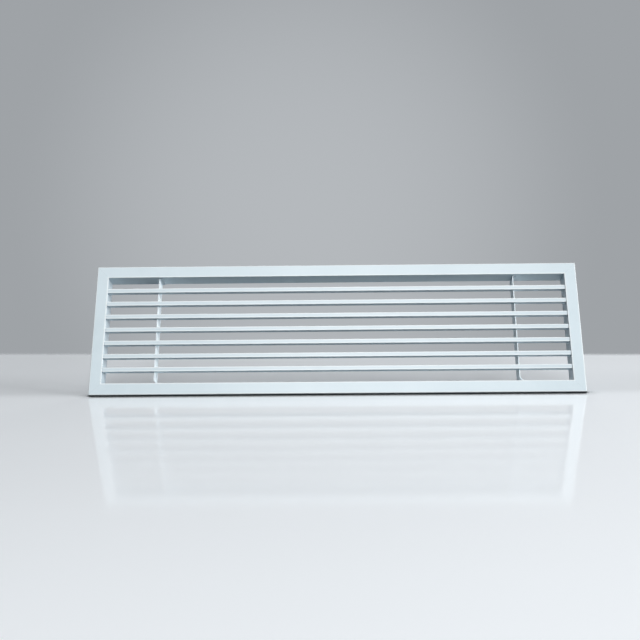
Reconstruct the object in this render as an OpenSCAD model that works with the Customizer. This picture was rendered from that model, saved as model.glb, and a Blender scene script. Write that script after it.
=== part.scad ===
// Linear bar grille for a wall or ceiling opening.
// Four mitred frame rails carry a neck, and seven flat bars sit in two notched mullions inside it.
// X runs along the grille, Z runs up and the face looks along -Y.
// The origin is the centre of the opening, in the plane where the flange seats on the wall.

/* [Frame] */
// Overall length of the face
overall_w = 625; // [400:1:900]
// Overall height of the face
overall_h = 174; // [140:1:260]
// Width of the flange, from its outer edge to the air opening
flange_w = 15.2; // [14:0.1:24]
// Thickness of the flange face
face_t = 1.5; // [1:0.1:2.5]
// Thickness of the return lip round the flange
lip_t = 1.3; // [1:0.1:2]
// Thickness of the neck wall
wall_t = 1.4; // [1:0.1:2]
// Depth of the neck behind the wall surface
neck_d = 19; // [14:0.5:40]
// Radius of the outer front edge of the flange
edge_r = 1; // [0.4:0.1:1.4]
// Radius of the front edge round the air opening
mouth_r = 0.5; // [0.2:0.1:0.9]

/* [Corner keys] */
// Width of a corner key's leg
key_w = 7; // [5:0.1:8]
// Thickness of a corner key
key_t = 1.8; // [1.2:0.1:3]
// Length of a corner key's leg, from its outer corner
key_leg = 45; // [25:1:60]
// Chamfer at the end of each leg
key_chamfer = 1.6; // [0.5:0.1:2.2]
// Clearance round a key in its channel
key_clear = 0.1; // [0.05:0.05:0.3]
// Thickness of the channel's outer rib
rib_t = 1.2; // [0.8:0.1:1.8]
// Thickness of the hooks that hold the key in
hook_t = 1.2; // [0.8:0.1:1.8]
// Reach of each hook over the key
hook_reach = 1.5; // [0.8:0.1:2]
// Distance of the hooks in front of the wall surface
seat_relief = 0.3; // [0.1:0.1:1]

/* [Bars] */
// Height of a bar's front
bar_h = 5.7; // [4:0.1:8]
// Depth of a bar from front to back
bar_d = 7.5; // [6:0.1:12]
// Distance of the bars' fronts behind the flange face
bar_recess = 0.6; // [0:0.1:2]
// Radius of a bar's long edges
bar_edge_r = 0.5; // [0.2:0.1:1.2]
// Free gap between the frame and the first and last bar
end_gap = 15.4; // [12:0.1:22]
// Clearance between a bar's end and the neck wall
bar_end_clear = 0.3; // [0.1:0.1:1.5]
// Radius of the corners at a bar's ends, seen from the front
bar_end_r = 1; // [0.3:0.1:1.8]

/* [Mullions] */
// Distance from the side of the air opening to the middle of a mullion
mullion_inset = 66.3; // [30:0.1:120]
// Thickness of the strip
mullion_t = 1.2; // [1:0.1:2.5]
// Distance of the strip's front edge behind the flange face
mullion_set = 4; // [2.5:0.1:5]
// Inner radius of the bend at the upper foot
bend_top_r = 1.2; // [0.6:0.1:7]
// Inner radius of the bend at the lower foot
bend_low_r = 5.6; // [0.6:0.1:7]
// Length of the flat part of a foot, beyond its bend
foot_flat = 3; // [1:0.1:10]
// Clearance round a bar in its notch
notch_clear = 0.1; // [0.05:0.05:0.3]

/* [Hidden] */
$fn = 48;
bar_count = 7;
// Flange depth, filled by the face, the key channel and the hooks
channel_d = key_t + 2 * key_clear;
flange_d = face_t + channel_d + hook_t + seat_relief;
face_y = -flange_d;
face_back_y = face_y + face_t;
hook_y = face_back_y + channel_d;
neck_back_y = neck_d;
// Air opening inside the neck
open_w = overall_w - 2 * flange_w;
open_h = overall_h - 2 * flange_w;
// Key channel, measured outward from the air opening
channel_in = wall_t;
channel_out = channel_in + key_w + 2 * key_clear;
// Bars
bar_l = open_w - 2 * bar_end_clear;
bar_front_y = face_y + bar_recess;
bar_back_y = bar_front_y + bar_d;
bar_pitch = (open_h - 2 * end_gap - bar_h) / (bar_count - 1);
bar_top_z = open_h / 2 - end_gap - bar_h / 2;
// Mullions
mullion_x = open_w / 2 - mullion_inset;
mullion_front_y = face_y + mullion_set;
top_foot_l = bend_top_r + mullion_t + foot_flat;
low_foot_l = bend_low_r + mullion_t + foot_flat;
// Length by which a cutter passes the surface it cuts
over = 1;
paint = [0.87, 0.92, 0.945];
metal = [0.72, 0.73, 0.74];

// Plate between two corners given as [depth, outward distance]
module plate(low, high) {
    translate(low) square(high - low);
}

// Corner left over outside an edge radius, at the low corner of the quadrant
module edge_waste(r) {
    difference() {
        translate([-over, -over]) square(r + over);
        translate([r, r]) circle(r = r);
    }
}

// Section of the frame extrusion: first axis is depth, second runs outward from the air opening
module rail_section() {
    difference() {
        union() {
            // flange face
            plate([face_y, 0], [face_back_y, flange_w]);
            // return lip that seats on the wall
            plate([face_y, flange_w - lip_t], [0, flange_w]);
            // neck wall
            plate([face_y, 0], [neck_back_y, wall_t]);
            // outer rib of the key channel
            plate([face_back_y, channel_out], [hook_y + hook_t, channel_out + rib_t]);
            // hooks over the key
            plate([hook_y, channel_in], [hook_y + hook_t, channel_in + hook_reach]);
            plate([hook_y, channel_out - hook_reach], [hook_y + hook_t, channel_out]);
        }
        translate([face_y, 0]) edge_waste(mouth_r);
        translate([face_y, flange_w]) mirror([0, 1]) edge_waste(edge_r);
    }
}

// Rail along X with its air-opening edge at z = 0 and both ends mitred
module rail(length) {
    depth = neck_back_y - face_y + 2 * over;
    intersection() {
        rotate([90, 0, 90]) linear_extrude(height = length + 2 * over, center = true) rail_section();
        translate([0, neck_back_y + over, 0]) rotate([90, 0, 0]) linear_extrude(height = depth)
            polygon([
                [-length / 2 - over, flange_w + over],
                [length / 2 + over, flange_w + over],
                [length / 2 - flange_w - over, -over],
                [-length / 2 + flange_w + over, -over]
            ]);
    }
}

// Outline of a corner key from its outer corner at zero, with both legs chamfered at the end
module key_outline() {
    polygon([
        [0, 0],
        [-key_leg + key_chamfer, 0],
        [-key_leg, -key_chamfer],
        [-key_leg, -key_w + key_chamfer],
        [-key_leg + key_chamfer, -key_w],
        [-key_w, -key_w],
        [-key_w, -key_leg + key_chamfer],
        [-key_w + key_chamfer, -key_leg],
        [-key_chamfer, -key_leg],
        [0, -key_leg + key_chamfer]
    ]);
}

// Corner key for the corner at +X and +Z
module corner_key() {
    corner = channel_out - key_clear;
    color(metal)
        translate([open_w / 2 + corner, face_back_y + key_clear + key_t, open_h / 2 + corner])
            rotate([90, 0, 0]) linear_extrude(height = key_t) key_outline();
}

// Section of a bar: first axis is depth, second is height, with its front at zero
module bar_section() {
    difference() {
        translate([0, -bar_h / 2]) square([bar_d, bar_h]);
        for (side = [0, 1]) mirror([0, side]) {
            translate([0, -bar_h / 2]) edge_waste(bar_edge_r);
            translate([bar_d, -bar_h / 2]) mirror([1, 0]) edge_waste(bar_edge_r);
        }
    }
}

// Height of the middle of a bar, counted from 1 at the top
function bar_z(number) = bar_top_z - (number - 1) * bar_pitch;

// Front outline of a bar, with eased corners at both ends
module bar_outline() {
    difference() {
        square([bar_l, bar_h + 2 * over], center = true);
        for (end = [0, 1], side = [0, 1]) mirror([end, 0]) mirror([0, side])
            translate([-bar_l / 2, -bar_h / 2]) edge_waste(bar_end_r);
    }
}

module bar(number) {
    color(paint) translate([0, bar_front_y, bar_z(number)]) intersection() {
        rotate([90, 0, 90]) linear_extrude(height = bar_l + 2 * over, center = true) bar_section();
        translate([0, bar_d + over, 0]) rotate([90, 0, 0])
            linear_extrude(height = bar_d + 2 * over) bar_outline();
    }
}

// Plate from x = 0 along +X, with its upper and its lower corner at x = 0 rounded
module rounded_plate(length, height, top_r, low_r) {
    difference() {
        translate([0, -height / 2]) square([length, height]);
        translate([0, -height / 2]) edge_waste(low_r);
        mirror([0, 1]) translate([0, -height / 2]) edge_waste(top_r);
    }
}

// Front view of a mullion: an upright strip with a bent foot at each end, both turned toward +X
module mullion_outline() {
    longest = max(top_foot_l, low_foot_l);
    pocket_h = open_h - 2 * mullion_t;
    difference() {
        rounded_plate(longest, open_h, bend_top_r + mullion_t, bend_low_r + mullion_t);
        translate([mullion_t, 0]) rounded_plate(longest, pocket_h, bend_top_r, bend_low_r);
        translate([top_foot_l, 0]) square([longest, open_h / 2 + over]);
        translate([low_foot_l, -open_h / 2 - over]) square([longest, open_h / 2 + over]);
    }
}

// Mullion strip with a notch in its front edge for each bar
module mullion(x) {
    notch_h = bar_h + 2 * notch_clear;
    notch_d = bar_back_y + notch_clear - mullion_front_y;
    color(paint) translate([x - mullion_t / 2, 0, 0]) difference() {
        translate([0, neck_back_y, 0]) rotate([90, 0, 0])
            linear_extrude(height = neck_back_y - mullion_front_y) mullion_outline();
        for (number = [1 : bar_count])
            translate([-over, mullion_front_y - over, bar_z(number) - notch_h / 2])
                cube([mullion_t + 2 * over, notch_d + over, notch_h]);
    }
}

module top_rail() {
    color(paint) translate([0, 0, open_h / 2]) rail(overall_w);
}

module bottom_rail() {
    color(paint) rotate([0, 180, 0]) translate([0, 0, open_h / 2]) rail(overall_w);
}

module left_rail() {
    color(paint) rotate([0, -90, 0]) translate([0, 0, open_w / 2]) rail(overall_h);
}

module right_rail() {
    color(paint) rotate([0, 90, 0]) translate([0, 0, open_w / 2]) rail(overall_h);
}

module key_top_left() {
    mirror([1, 0, 0]) corner_key();
}

module key_top_right() {
    corner_key();
}

module key_bottom_left() {
    rotate([0, 180, 0]) corner_key();
}

module key_bottom_right() {
    mirror([0, 0, 1]) corner_key();
}

module mullion_left() {
    mullion(-mullion_x);
}

module mullion_right() {
    mullion(mullion_x);
}

top_rail();
bottom_rail();
left_rail();
right_rail();
key_top_left();
key_top_right();
key_bottom_left();
key_bottom_right();
bar(1);  // bar_1
bar(2);  // bar_2
bar(3);  // bar_3
bar(4);  // bar_4
bar(5);  // bar_5
bar(6);  // bar_6
bar(7);  // bar_7
mullion_left();
mullion_right();
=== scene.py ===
# %% [markdown]
# # A linear bar grille, dressed in Blender
#
# The grille is a powder-coated aluminium air outlet: four mitred frame rails, seven flat bars
# and two notched mullions that carry the bars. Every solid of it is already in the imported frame,
# so this lesson is about the other half of the work: the camera, the stage, the light and the
# finishes. We load the frame first, because each later step measures itself on it.

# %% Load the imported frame
import math

import bpy
from mathutils import Matrix, Vector


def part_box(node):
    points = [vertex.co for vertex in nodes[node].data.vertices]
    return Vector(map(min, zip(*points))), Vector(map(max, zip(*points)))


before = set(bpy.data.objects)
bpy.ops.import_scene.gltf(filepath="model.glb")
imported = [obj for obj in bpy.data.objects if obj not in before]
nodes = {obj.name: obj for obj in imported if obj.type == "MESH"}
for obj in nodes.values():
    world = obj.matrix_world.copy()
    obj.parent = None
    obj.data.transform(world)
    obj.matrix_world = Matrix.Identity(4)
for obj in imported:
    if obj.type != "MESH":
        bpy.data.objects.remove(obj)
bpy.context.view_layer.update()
bpy.ops.object.select_all(action="DESELECT")
MM = 0.001


# %% [markdown]
# ## Measures taken from the solids
#
# The rails tell us where the air opening lies, and the bars tell us their pitch. We read both from
# the boxes of the solids instead of typing them again, so the finishes follow if a size changes.

# %% Read the opening, the flange and the bars
opening_x = -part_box("left_rail")[1].x
opening_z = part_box("top_rail")[0].z
flange_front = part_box("top_rail")[0].y
flange_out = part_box("top_rail")[1].z - opening_z
lip_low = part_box("bottom_rail")[0].z
bar_names = sorted(name for name in nodes if name.startswith("bar_"))
bar_front, bar_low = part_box(bar_names[-1])[0].y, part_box(bar_names[-1])[0].z
bar_half = (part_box(bar_names[-1])[1].z - bar_low) / 2
bar_pitch = (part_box(bar_names[0])[0].z - bar_low) / (len(bar_names) - 1)
print("half opening in mm:", round(opening_x / MM, 2), round(opening_z / MM, 2))
print("flange", round(flange_out / MM, 2), "bar pitch", round(bar_pitch / MM, 2), "mm")

# %% [markdown]
# ## The camera
#
# The grille keeps the frame of its wall mount: it stands upright with its face along -Y. We look
# at it from a little below the line square to the face, so in this frame the camera sits low and
# looks up. Its place, its three turns and its lens were found by matching the corners of the frame
# and the ends of the bars, which is why the numbers are not round ones.

# %% Place the camera
CAMERA_PLACE = (0.00038, -1.19491, -0.41446)
CAMERA_UP, CAMERA_TURN, CAMERA_ROLL = 19.6525, 1.0036, -0.1589
CAMERA_LENS, CAMERA_SENSOR = 55.303, 36.0
CLIP_NEAR, CLIP_FAR = 0.01, 50


def turn(degrees, axis):
    return Matrix.Rotation(math.radians(degrees), 4, axis)


bpy.ops.object.camera_add()
camera = bpy.context.object
camera.name = "camera"
camera.matrix_world = (Matrix.Translation(CAMERA_PLACE) @ turn(CAMERA_TURN, "Z")
                       @ turn(90 + CAMERA_UP, "X") @ turn(CAMERA_ROLL, "Z"))
camera.data.lens = CAMERA_LENS
camera.data.sensor_width = CAMERA_SENSOR
camera.data.clip_start, camera.data.clip_end = CLIP_NEAR, CLIP_FAR
bpy.context.scene.camera = camera
print("camera at", [round(v, 3) for v in camera.location], "lens", CAMERA_LENS)

# %% [markdown]
# ## The stage
#
# On its own the grille leans back on the rear edge of its bottom lip. The grille may not move in
# its frame, so the stage leans instead: one tilted empty stands for the floor's directions, with X
# to the right, Y away from the viewer and Z up from the floor. The floor and all the lamps are
# placed in them.

# %% Lean the stage
LEAN = 24.7
bpy.ops.object.empty_add(location=(0, 0, lip_low), rotation=(math.radians(LEAN), 0, 0))
stage = bpy.context.object
stage.name = "stage"
bpy.context.view_layer.update()


def on_stage(point):
    """A point given in the floor's directions, in the frame of the part."""
    return stage.matrix_world @ Vector(point)


print("the floor rises", LEAN, "degrees towards +Y")

# %% [markdown]
# ## The floor
#
# A plain pale sheet with a satin gloss, like lacquered board, takes the shadow and a weak mirror
# image. It is a single plane, turned a little, because the grille doesn't stand quite square on it.

# %% Add the floor
FLOOR_HALF = 1.6
FLOOR_TURN = -4.0
bpy.ops.mesh.primitive_plane_add(size=2 * FLOOR_HALF)
floor = bpy.context.object
floor.name = "floor"
floor.matrix_world = stage.matrix_world @ turn(FLOOR_TURN, "Z")
print("floor", 2 * FLOOR_HALF, "m square")


# %% [markdown]
# ## Small helpers for node trees
#
# Node trees are long to write by hand. These helpers add a node with its settings, feed a socket
# from another socket or with a plain value, and chain Math nodes, so that a material below reads
# from top to bottom.

# %% Node helpers
def add_node(tree, kind, **settings):
    node = tree.nodes.new(kind)
    for name, value in settings.items():
        setattr(node, name, value)
    return node


def feed(tree, value, socket):
    """Link a socket to this one, or set a plain number or colour on it."""
    if isinstance(value, bpy.types.NodeSocket):
        tree.links.new(value, socket)
    else:
        socket.default_value = value


def math_node(tree, operation, *values):
    """A Math node whose inputs are sockets or plain numbers."""
    node = add_node(tree, "ShaderNodeMath", operation=operation)
    for value, socket in zip(values, node.inputs):
        feed(tree, value, socket)
    return node.outputs[0]


def product(tree, result, *others):
    for value in others:
        result = math_node(tree, "MULTIPLY", result, value)
    return result


def highest(tree, result, *others):
    for value in others:
        result = math_node(tree, "MAXIMUM", result, value)
    return result


print("helpers ready")

# %% [markdown]
# ## Where the floor ends
#
# Seen from other sides a hard edge would cut the picture, so the sheet fades out into the plain
# backdrop. The fade follows the sheet's own Object coordinates: slow to the front and to the sides,
# and quick at the back, where the board ends. Its back counts as faded too, which lets a low camera
# look through it.

# %% Fade the floor out
FADE_FRONT, FADE_BACK, FADE_SIDE = (0.95, 1.5), (0.385, 0.43), (0.6, 0.9)
RISING, FALLING = (0.0, 1.0), (1.0, 0.0)


def new_material(name):
    material = bpy.data.materials.new(name)
    material.use_nodes = True
    tree = material.node_tree
    tree.nodes.clear()
    return material, tree, add_node(tree, "ShaderNodeOutputMaterial")


def split(tree, vector):
    """The X, Y and Z sockets of a vector."""
    node = add_node(tree, "ShaderNodeSeparateXYZ")
    tree.links.new(vector, node.inputs[0])
    return tuple(node.outputs)


def smooth_step(tree, value, band, result=RISING):
    """A smooth ramp: the two ends of the value's band become the two ends of the result."""
    node = add_node(tree, "ShaderNodeMapRange", interpolation_type="SMOOTHSTEP")
    tree.links.new(value, node.inputs["Value"])
    for name, number in zip(("From Min", "From Max", "To Min", "To Max"), (*band, *result)):
        node.inputs[name].default_value = number
    return node.outputs["Result"]


floor_finish, tree, output = new_material("satin_board")
place = add_node(tree, "ShaderNodeTexCoord")
across, along, _ = split(tree, place.outputs["Object"])
below = add_node(tree, "ShaderNodeNewGeometry").outputs["Backfacing"]
fade = highest(tree, smooth_step(tree, math_node(tree, "ABSOLUTE", across), FADE_SIDE),
               smooth_step(tree, math_node(tree, "MULTIPLY", along, -1.0), FADE_FRONT),
               smooth_step(tree, along, FADE_BACK), below)
print("floor fades to the side, front and back at", FADE_SIDE, FADE_FRONT, FADE_BACK)

# %% [markdown]
# ## The floor's colour
#
# The floor bounces light back up. On a real set the underside of the bars stays fairly dark, so
# rays that come from a diffuse bounce will see a darker board than the camera does: the two get a
# shader each. An Ambient Occlusion node with a short reach mixes a near-black tone into both where
# the grille touches the board: a painted contact shadow. Layer Weight takes the gloss away where
# the board is seen almost edge on, so the lamps don't glare there.

# %% Colour the floor
SKY_SAMPLES = 8
TOUCH_REACH, TOUCH_BAND = 0.02, (0.66, 0.97)
FLOOR_ROUGHNESS = 0.08
EDGE_ON, FLOOR_SHINE = (0.90, 0.955), (0.24, 0.0)


def linear(red, green, blue):
    """Scene colour of a colour as a screen shows it, from 0 to 255."""
    def channel(value):
        share = value / 255
        return share / 12.92 if share <= 0.04045 else ((share + 0.055) / 1.055) ** 2.4
    return (channel(red), channel(green), channel(blue), 1.0)


def mix_colour(tree, factor, first, second):
    """A colour mix. Each colour is a socket or a plain colour."""
    node = add_node(tree, "ShaderNodeMix", data_type="RGBA")
    sockets = node.inputs["Factor"], node.inputs[6], node.inputs[7]  # 6 and 7 take colours
    for value, socket in zip((factor, first, second), sockets):
        feed(tree, value, socket)
    return node.outputs[2]


def open_sky(tree, reach):
    """1 where nothing stands over the floor within reach, and less near the grille."""
    node = add_node(tree, "ShaderNodeAmbientOcclusion", samples=SKY_SAMPLES)
    node.inputs["Distance"].default_value = reach
    return node.outputs["AO"]


FLOOR_TONE = linear(235, 239, 243)
FLOOR_BOUNCE = linear(86, 105, 115)
CONTACT_SHADOW_TONE = linear(14, 18, 20)
# bare is 1 away from the grille. Near it, the near-black tone paints a contact shadow on the board
# and on its bounce.
bare = smooth_step(tree, open_sky(tree, TOUCH_REACH), TOUCH_BAND)
board, bounce = add_node(tree, "ShaderNodeBsdfPrincipled"), add_node(tree, "ShaderNodeBsdfDiffuse")
tree.links.new(mix_colour(tree, bare, CONTACT_SHADOW_TONE, FLOOR_TONE), board.inputs["Base Color"])
tree.links.new(mix_colour(tree, bare, CONTACT_SHADOW_TONE, FLOOR_BOUNCE), bounce.inputs["Color"])
board.inputs["Roughness"].default_value = FLOOR_ROUGHNESS
facing = add_node(tree, "ShaderNodeLayerWeight").outputs["Facing"]
tree.links.new(smooth_step(tree, facing, EDGE_ON, FLOOR_SHINE), board.inputs["Specular IOR Level"])
print("floor tone", [round(v, 3) for v in FLOOR_TONE[:3]], "roughness", FLOOR_ROUGHNESS)

# %% [markdown]
# ## The floor's painted glow
#
# A pale board under a soft sky looks brighter than the lamps alone make it, so the board gets a
# painted glow: emitted light, stronger to the right, and taken down behind the grille as a painted
# shadow. A second Ambient Occlusion node, with a longer reach, takes the glow away beside the
# grille, which is painted shade too. Light Path keeps the glow to the rays that the eye follows:
# camera, mirror and clear rays. So it shows in gloss, but it doesn't light the paint.

# %% Add the glow
GLOW_TONE = (0.92, 0.96, 1.0, 1.0)
GLOW_REACH = 0.1
GLOW_SPAN, GLOW_SIDES = (-0.5, 0.5), (0.195, 0.32)
SHADE_NEAR, SHADE_FAR = (-0.02, 0.03), (0.05, 0.25)
SHADE_LEFT, SHADE_RIGHT = (-0.36, -0.27), (0.18, 0.34)
FAR_LEVEL, LEFT_LEVEL, RIGHT_LEVEL = 0.5, 0.45, 0.3
EYE_RAYS = ("Is Camera Ray", "Is Glossy Ray", "Is Transmission Ray")


def eye_rays(tree, path):
    """1 for the rays that the eye follows: from the camera, off gloss and through glass."""
    return highest(tree, *(path.outputs[name] for name in EYE_RAYS))


# shade marks where the painted glow is taken down behind the grille: a painted shadow on the floor.
depth = math_node(tree, "MULTIPLY_ADD", across, math.tan(math.radians(FLOOR_TURN)), along)
shade = product(tree, smooth_step(tree, depth, SHADE_NEAR),
                smooth_step(tree, depth, SHADE_FAR, (1.0, FAR_LEVEL)),
                smooth_step(tree, across, SHADE_LEFT, (LEFT_LEVEL, 1.0)),
                smooth_step(tree, across, SHADE_RIGHT, (1.0, RIGHT_LEVEL)))
path = add_node(tree, "ShaderNodeLightPath")
strength = product(tree, eye_rays(tree, path), open_sky(tree, GLOW_REACH), bare,
                   smooth_step(tree, across, GLOW_SPAN, GLOW_SIDES),
                   math_node(tree, "SUBTRACT", 1.0, shade))
# The glow is painted light on the floor, emitted for eye rays only.
glow = add_node(tree, "ShaderNodeEmission")
glow.inputs["Color"].default_value = GLOW_TONE
tree.links.new(strength, glow.inputs["Strength"])
print("glow from", GLOW_SIDES[0], "on the left to", GLOW_SIDES[1], "on the right")


# %% [markdown]
# ## The floor's shaders, joined
#
# The board and its glow add up. Light Path then picks the darker board for diffuse rays, and the
# fade mixes in a Transparent shader.

# %% Join the floor's shaders
def mix_shaders(tree, factor, first, second):
    node = add_node(tree, "ShaderNodeMixShader")
    for value, socket in zip((factor, first.outputs[0], second.outputs[0]), node.inputs):
        tree.links.new(value, socket)
    return node


lit = add_node(tree, "ShaderNodeAddShader")
for shader, socket in zip((board, glow), lit.inputs):
    tree.links.new(shader.outputs[0], socket)
by_ray = mix_shaders(tree, path.outputs["Is Diffuse Ray"], lit, bounce)
by_reach = mix_shaders(tree, fade, by_ray, add_node(tree, "ShaderNodeBsdfTransparent"))
tree.links.new(by_reach.outputs[0], output.inputs["Surface"])
floor.data.materials.append(floor_finish)
print("floor finish:", floor_finish.name, "with", len(tree.nodes), "nodes")

# %% [markdown]
# ## The backdrop
#
# A plain grey shows behind the slots, with a painted pool of light that is a little lighter
# straight behind the grille. It is the world's colour, but only for rays that the eye follows. In a
# world tree the Generated coordinate is the ray's direction, so its dot product with one fixed
# direction gives a soft round patch. All other rays meet a soft, dimmer fill light.

# %% Set the world
BACKDROP, BACKDROP_LIGHT_POOL = linear(159, 163, 167), linear(183, 187, 191)
PATCH_RISE, PATCH_TURN, PATCH_BAND = 25.8, 1.8, (0.955, 1.01)
FILL_TONE, FILL_LEVEL = (0.86, 0.95, 1.0, 1.0), 0.04
world = bpy.data.worlds.new("studio")
bpy.context.scene.world = world
world.use_nodes = True
tree = world.node_tree
tree.nodes.clear()
seen, fill = add_node(tree, "ShaderNodeBackground"), add_node(tree, "ShaderNodeBackground")
ray = add_node(tree, "ShaderNodeTexCoord")
towards = add_node(tree, "ShaderNodeVectorMath", operation="DOT_PRODUCT")
towards.inputs[1].default_value = turn(PATCH_TURN, "Z") @ turn(PATCH_RISE, "X") @ Vector((0, 1, 0))
tree.links.new(ray.outputs["Generated"], towards.inputs[0])
# The soft round patch of lighter grey is a painted pool of light on the backdrop.
patch = smooth_step(tree, towards.outputs["Value"], PATCH_BAND)
tree.links.new(mix_colour(tree, patch, BACKDROP, BACKDROP_LIGHT_POOL), seen.inputs["Color"])
fill.inputs["Color"].default_value = FILL_TONE
fill.inputs["Strength"].default_value = FILL_LEVEL
by_ray = mix_shaders(tree, eye_rays(tree, add_node(tree, "ShaderNodeLightPath")), fill, seen)
output = add_node(tree, "ShaderNodeOutputWorld")
tree.links.new(by_ray.outputs[0], output.inputs["Surface"])
bpy.context.scene.view_settings.view_transform = "Standard"
print("backdrop", [round(v, 3) for v in BACKDROP[:3]], "fill", FILL_LEVEL)

# %% [markdown]
# ## The lamps
#
# The key panel and a side panel stand low and far to the right, so faces that look right are bright
# and faces that look left fall into shade. The grille leans back, so this low light just grazes the
# undersides of the bars too. A broad panel high in front evens out the face. A low one behind and a
# weak one on the left light the back and the far side for the other views. A lamp is placed by its
# bearing from straight ahead, its height angle and its distance. All lamps are hidden from the
# camera, and the low ones from mirror rays too, or the satin board would glare. Their powers are
# set so that a colour on the face renders about as it is written.

# %% Add the lamps
AIM = Vector((0.0, 0.03, 0.06))


def add_panel(name, bearing, rise, distance, size, power, mirrored=False):
    bearing, rise = math.radians(bearing), math.radians(rise)
    level = math.cos(rise)
    away = Vector((math.sin(bearing) * level, -math.cos(bearing) * level, math.sin(rise)))
    bpy.ops.object.light_add(type="AREA", location=on_stage(AIM + away * distance))
    lamp = bpy.context.object
    lamp.name = name
    lamp.rotation_mode = "QUATERNION"
    lamp.rotation_quaternion = (on_stage(AIM) - lamp.location).to_track_quat("-Z", "Y")
    lamp.data.shape = "SQUARE"
    lamp.data.size = size
    lamp.data.energy = power
    lamp.visible_camera, lamp.visible_glossy = False, mirrored
    print("lamp", name, power, "W at", distance, "m")


add_panel("key_panel", bearing=67, rise=9, distance=8.0, size=2.6, power=400)
add_panel("side_panel", bearing=83, rise=9, distance=8.0, size=1.6, power=165)
add_panel("high_front_panel", bearing=3, rise=42, distance=5.0, size=2.0, power=138, mirrored=True)
add_panel("rear_panel", bearing=162, rise=8, distance=3.0, size=1.2, power=40)
add_panel("left_panel", bearing=276, rise=12, distance=5.0, size=0.4, power=22)

# %% [markdown]
# ## Powder coat, as a node group
#
# Powder coat is sprayed dry and baked, and it sets with a faint orange peel: low waves about a
# millimetre wide with a finer grain on top. The tone also drifts a little along a length. Rails,
# bars and mullions all carry it, so it is one group with named inputs and outputs.

# %% Build the powder coat group
NOISE_MIDDLE = 0.5
GRAIN_FINER, GRAIN_SHARE = 3.7, 0.25
BROAD_SCALE, CLOUD_SCALE, BROAD_SHARE, CLOUD_SHARE = 9.0, 70.0, 0.65, 0.35
COAT_NUMBERS = {"Peel Scale": 900.0, "Gloss": 0.36, "Gloss Spread": 0.12}


def new_group(name, outputs, numbers=None):
    """A group that takes a place and named numbers, and puts out values."""
    group = bpy.data.node_groups.new(name, "ShaderNodeTree")

    def add_socket(label, in_out, kind="NodeSocketFloat"):
        return group.interface.new_socket(name=label, in_out=in_out, socket_type=kind)

    add_socket("Vector", "INPUT", "NodeSocketVector")
    for label, value in (numbers or {}).items():
        add_socket(label, "INPUT").default_value = value
    for label in outputs:
        add_socket(label, "OUTPUT")
    start, end = add_node(group, "NodeGroupInput"), add_node(group, "NodeGroupOutput")
    return group, start.outputs, end.inputs


def noise(tree, vector, scale, detail=2.0, rough=0.5):
    node = add_node(tree, "ShaderNodeTexNoise")
    values = {"Vector": vector, "Scale": scale, "Detail": detail, "Roughness": rough}
    for name, value in values.items():
        feed(tree, value, node.inputs[name])
    return node.outputs["Fac"]


coat, given, result = new_group("powder_coat_skin", ("Drift", "Roughness", "Height"), COAT_NUMBERS)
peel = noise(coat, given["Vector"], given["Peel Scale"], detail=1.0)
grain = noise(coat, given["Vector"], product(coat, given["Peel Scale"], GRAIN_FINER))
broad = noise(coat, given["Vector"], BROAD_SCALE)
cloud = noise(coat, given["Vector"], CLOUD_SCALE, detail=3.0)
drift = math_node(coat, "ADD", product(coat, broad, BROAD_SHARE), product(coat, cloud, CLOUD_SHARE))
spread = product(coat, math_node(coat, "SUBTRACT", cloud, NOISE_MIDDLE), given["Gloss Spread"])
coat.links.new(drift, result["Drift"])
coat.links.new(math_node(coat, "ADD", given["Gloss"], spread), result["Roughness"])
coat.links.new(math_node(coat, "ADD", peel, product(coat, grain, GRAIN_SHARE)), result["Height"])
print("group", coat.name, "with", len(coat.nodes), "nodes")

# %% [markdown]
# ## Mitre seams, in a group for the frame
#
# Two rails meet at each corner in a mitre, and after coating the joint is a hair line. A mitre runs
# where a point is as far out from the air opening sideways as it is upwards, so the group measures
# both distances on Object coordinates. The marks of the next two cells use them too.

# %% Start the frame group with the seams
SEAM_BAND = (0.025 * MM, 0.08 * MM)
corner, given, result = new_group("frame_seams", ("Painted Edge Highlight", "Thin Coat And Painted Shade", "Seam"))
x, y, z = split(corner, given["Vector"])
out_x = math_node(corner, "SUBTRACT", math_node(corner, "ABSOLUTE", x), opening_x)
out_z = math_node(corner, "SUBTRACT", math_node(corner, "ABSOLUTE", z), opening_z)
outward = highest(corner, out_x, out_z)
apart = math_node(corner, "ABSOLUTE", math_node(corner, "SUBTRACT", out_x, out_z))
corner.links.new(smooth_step(corner, apart, SEAM_BAND, FALLING), result["Seam"])
print("seam", round(2 * SEAM_BAND[1] / MM, 2), "mm wide")

# %% [markdown]
# ## Thin coat and painted shade inside the frame
#
# The inside of the flange faces away from the spray gun, so it only gets a thin, greyer film,
# patchy from a noise. The short end walls deep in the neck get an even greyer tone, which is
# painted shade. Both begin behind the face.

# %% Add the thin coat and painted shade
COAT_AND_SHADE_DEPTH = (1.1 * MM, 1.6 * MM)
FLANGE_IN, FLANGE_OUT = (1.2 * MM, 3.0 * MM), (13.0 * MM, 14.2 * MM)
END_WALL_IN, END_WALL_OUT = (-0.6 * MM, -0.2 * MM), (0.4 * MM, 1.0 * MM)
PATCH_SCALE, PATCH_EDGES, PATCH_LEVELS = 45.0, (0.25, 0.75), (0.6, 1.0)
behind_face = smooth_step(corner, y, [flange_front + depth for depth in COAT_AND_SHADE_DEPTH])
patchy = smooth_step(corner, noise(corner, given["Vector"], PATCH_SCALE), PATCH_EDGES, PATCH_LEVELS)
in_flange = product(corner, smooth_step(corner, outward, FLANGE_IN),
                    smooth_step(corner, outward, FLANGE_OUT, FALLING), patchy)
# The even greyer tone on the end walls deep in the neck is painted shade.
end_wall_shade = product(corner, smooth_step(corner, out_x, END_WALL_IN),
                    smooth_step(corner, out_x, END_WALL_OUT, FALLING))
coat_and_shade = product(corner, behind_face, highest(corner, end_wall_shade, in_flange))
corner.links.new(coat_and_shade, result["Thin Coat And Painted Shade"])
print("thin coat from", round(COAT_AND_SHADE_DEPTH[0] / MM, 2), "mm behind the face")
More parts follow.
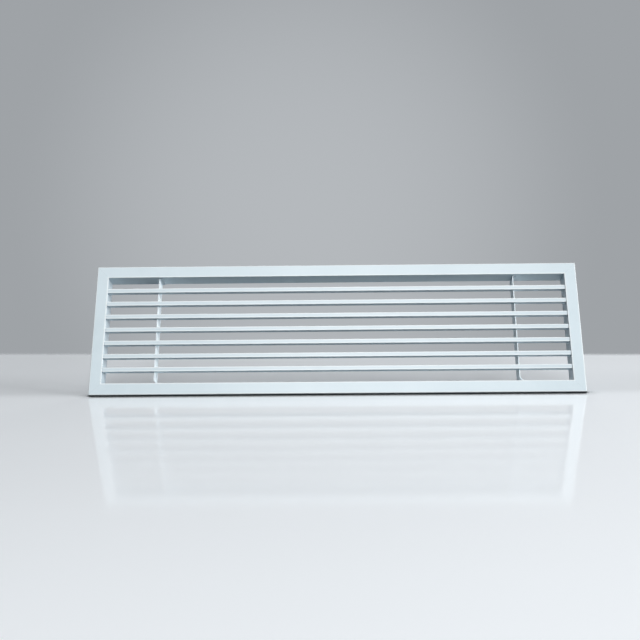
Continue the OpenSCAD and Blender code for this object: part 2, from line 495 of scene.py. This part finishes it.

# %% [markdown]
# ## Painted highlights along the frame's edges
#
# A slim, lighter line is painted along the edges of the face as a painted highlight: one round the
# air opening and one along the outside of the flange.

# %% Add the painted edge highlights
RIM_BAND = (0.7 * MM, 1.8 * MM)
FACE_DEPTH = (0.6 * MM, 1.4 * MM)
# A lighter line along the face's edges: a painted highlight.
inner_rim = smooth_step(corner, outward, RIM_BAND, FALLING)
outer_rim = smooth_step(corner, outward, [flange_out - width for width in reversed(RIM_BAND)])
face = smooth_step(corner, y, [flange_front + depth for depth in FACE_DEPTH], FALLING)
corner.links.new(product(corner, highest(corner, inner_rim, outer_rim), face), result["Painted Edge Highlight"])
print("group", corner.name, "with", len(corner.nodes), "nodes")

# %% [markdown]
# ## Bar edges, as a node group
#
# The bars get the same painted highlight, a lighter line, along the two edges of their front. They
# stand at one pitch, so a floored modulo folds all of them onto the lowest bar, and one measure
# serves them all.

# %% Build the bar group
slat, given, result = new_group("bar_edges", ("Painted Edge Highlight",))
_, y, z = split(slat, given["Vector"])
folded = math_node(slat, "FLOORED_MODULO", math_node(slat, "SUBTRACT", z, bar_low), bar_pitch)
off_centre = math_node(slat, "ABSOLUTE", math_node(slat, "SUBTRACT", folded, bar_half))
# A lighter line along each bar's front edges: a painted highlight.
rim = smooth_step(slat, off_centre, [bar_half - width for width in reversed(RIM_BAND)])
face = smooth_step(slat, y, [bar_front + depth for depth in FACE_DEPTH], FALLING)
slat.links.new(product(slat, rim, face), result["Painted Edge Highlight"])
print("group", slat.name, "with", len(slat.nodes), "nodes")

# %% [markdown]
# ## Mullion feet, as a node group
#
# The upper foot of a mullion sits tight under the top wall, in the shadow of the flange, so its
# last few millimetres get a greyer tone: painted shade. The height below the opening's edge is the
# mask.

# %% Build the foot group
FOOT_BAND = (5.0 * MM, 2.0 * MM)
foot, given, result = new_group("mullion_feet", ("Thin Coat And Painted Shade",))
_, _, z = split(foot, given["Vector"])
# Painted shade over the upper foot, for the shadow of the top wall's flange.
coat_and_shade = smooth_step(foot, z, [opening_z - drop for drop in FOOT_BAND])
foot.links.new(coat_and_shade, result["Thin Coat And Painted Shade"])
print("group", foot.name, "with", len(foot.nodes), "nodes")

# %% [markdown]
# ## The paint of the frame, the bars and the mullions
#
# The paint is a cool white. Its two near tones are mixed by the group's drift, its roughness comes
# from the group, and the orange peel goes through a Bump node. Each paint then takes the marks of
# its own group, one colour mix for every mask that the group puts out. Some marks are painted light
# and shade: the lighter edge lines are painted highlights, and the greyer tone on the end walls and
# the mullions' upper feet is painted shade. The mullions lie deeper and get lighter tones, painted
# light for the strong light on their sides.

# %% Make the paints
FRAME_TONES = (linear(215, 230, 237), linear(221, 235, 242))
BAR_TONES = (linear(210, 225, 233), linear(216, 230, 237))
# Lighter tones for the mullions: painted light for the strong light on their sides.
MULLION_LIT_TONES = (linear(229, 240, 246), linear(235, 245, 250))
MARK_TONES = {
    "Seam": linear(165, 175, 182),
    # Thin coat on the flange's back, and painted shade on the end walls and the mullions' upper
    # feet.
    "Thin Coat And Painted Shade": linear(192, 205, 213),
    # A lighter line along the front edges: a painted highlight.
    "Painted Edge Highlight": linear(241, 249, 252),
}
DRIFT_BAND = (0.35, 0.65)
PEEL_HEIGHT, SEAM_PEELS = 0.012 * MM, 3.0
PAINT_SPECULAR = 0.45


def make_paint(name, tones, marks, peel_scale, gloss):
    material, tree, output = new_material(name)
    paint = add_node(tree, "ShaderNodeBsdfPrincipled")
    place = add_node(tree, "ShaderNodeTexCoord")
    skin, marked = (add_node(tree, "ShaderNodeGroup", node_tree=group) for group in (coat, marks))
    for group in (skin, marked):
        tree.links.new(place.outputs["Object"], group.inputs["Vector"])
    skin.inputs["Peel Scale"].default_value = peel_scale
    skin.inputs["Gloss"].default_value = gloss
    tone = mix_colour(tree, smooth_step(tree, skin.outputs["Drift"], DRIFT_BAND), *tones)
    for label in marked.outputs.keys():
        tone = mix_colour(tree, marked.outputs[label], tone, MARK_TONES[label])
    height = skin.outputs["Height"]
    if "Seam" in marked.outputs:
        groove = product(tree, marked.outputs["Seam"], SEAM_PEELS)
        height = math_node(tree, "SUBTRACT", height, groove)
    bump = add_node(tree, "ShaderNodeBump")
    bump.inputs["Distance"].default_value = PEEL_HEIGHT
    tree.links.new(height, bump.inputs["Height"])
    tree.links.new(tone, paint.inputs["Base Color"])
    tree.links.new(skin.outputs["Roughness"], paint.inputs["Roughness"])
    tree.links.new(bump.outputs["Normal"], paint.inputs["Normal"])
    paint.inputs["Specular IOR Level"].default_value = PAINT_SPECULAR
    tree.links.new(paint.outputs[0], output.inputs["Surface"])
    print("paint", name, "gloss", gloss)
    return material


frame_paint = make_paint("powder_coat_frame", FRAME_TONES, corner, peel_scale=850.0, gloss=0.36)
bar_paint = make_paint("powder_coat_bars", BAR_TONES, slat, peel_scale=1000.0, gloss=0.34)
mullion_paint = make_paint("powder_coat_mullions", MULLION_LIT_TONES, foot, peel_scale=900.0, gloss=0.4)

# %% [markdown]
# ## Bare aluminium for the corner keys
#
# The keys slide into the rails' channels after coating, so they stay bare. Mill-finish aluminium
# has fine draw lines and a dull sheen. A noise stretched along one direction gives the lines.

# %% Make the mill finish
KEY_TONE, KEY_DULL = linear(206, 208, 210), linear(178, 181, 184)
LINE_STRETCH, LINE_BAND, LINE_HEIGHT = (60.0, 2500.0, 2500.0), (0.3, 0.7), 0.008 * MM
KEY_ROUGHNESS = (0.30, 0.52)
STAIN_SCALE = 150.0
mill, tree, output = new_material("mill_aluminium")
metal = add_node(tree, "ShaderNodeBsdfPrincipled")
metal.inputs["Metallic"].default_value = 1.0
place = add_node(tree, "ShaderNodeTexCoord")
stretch = add_node(tree, "ShaderNodeMapping")
stretch.inputs["Scale"].default_value = LINE_STRETCH
tree.links.new(place.outputs["Object"], stretch.inputs["Vector"])
lines = noise(tree, stretch.outputs["Vector"], 1.0, detail=3.0, rough=0.6)
stain = noise(tree, place.outputs["Object"], STAIN_SCALE, detail=3.0)
tree.links.new(mix_colour(tree, stain, KEY_DULL, KEY_TONE), metal.inputs["Base Color"])
tree.links.new(smooth_step(tree, lines, LINE_BAND, KEY_ROUGHNESS), metal.inputs["Roughness"])
bump = add_node(tree, "ShaderNodeBump")
bump.inputs["Distance"].default_value = LINE_HEIGHT
tree.links.new(lines, bump.inputs["Height"])
tree.links.new(bump.outputs["Normal"], metal.inputs["Normal"])
tree.links.new(metal.outputs[0], output.inputs["Surface"])
print("metal", mill.name)


# %% [markdown]
# ## Dress the solids
#
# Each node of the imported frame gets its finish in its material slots. Its mesh is never touched.

# %% Assign the finishes
def finish_for(name):
    if name.endswith("_rail"):
        return frame_paint
    if name.startswith("bar_"):
        return bar_paint
    if name.startswith("mullion_"):
        return mullion_paint
    return mill


for name, solid in nodes.items():
    solid.data.materials.clear()
    solid.data.materials.append(finish_for(name))
print("dressed", len(nodes), "solids")
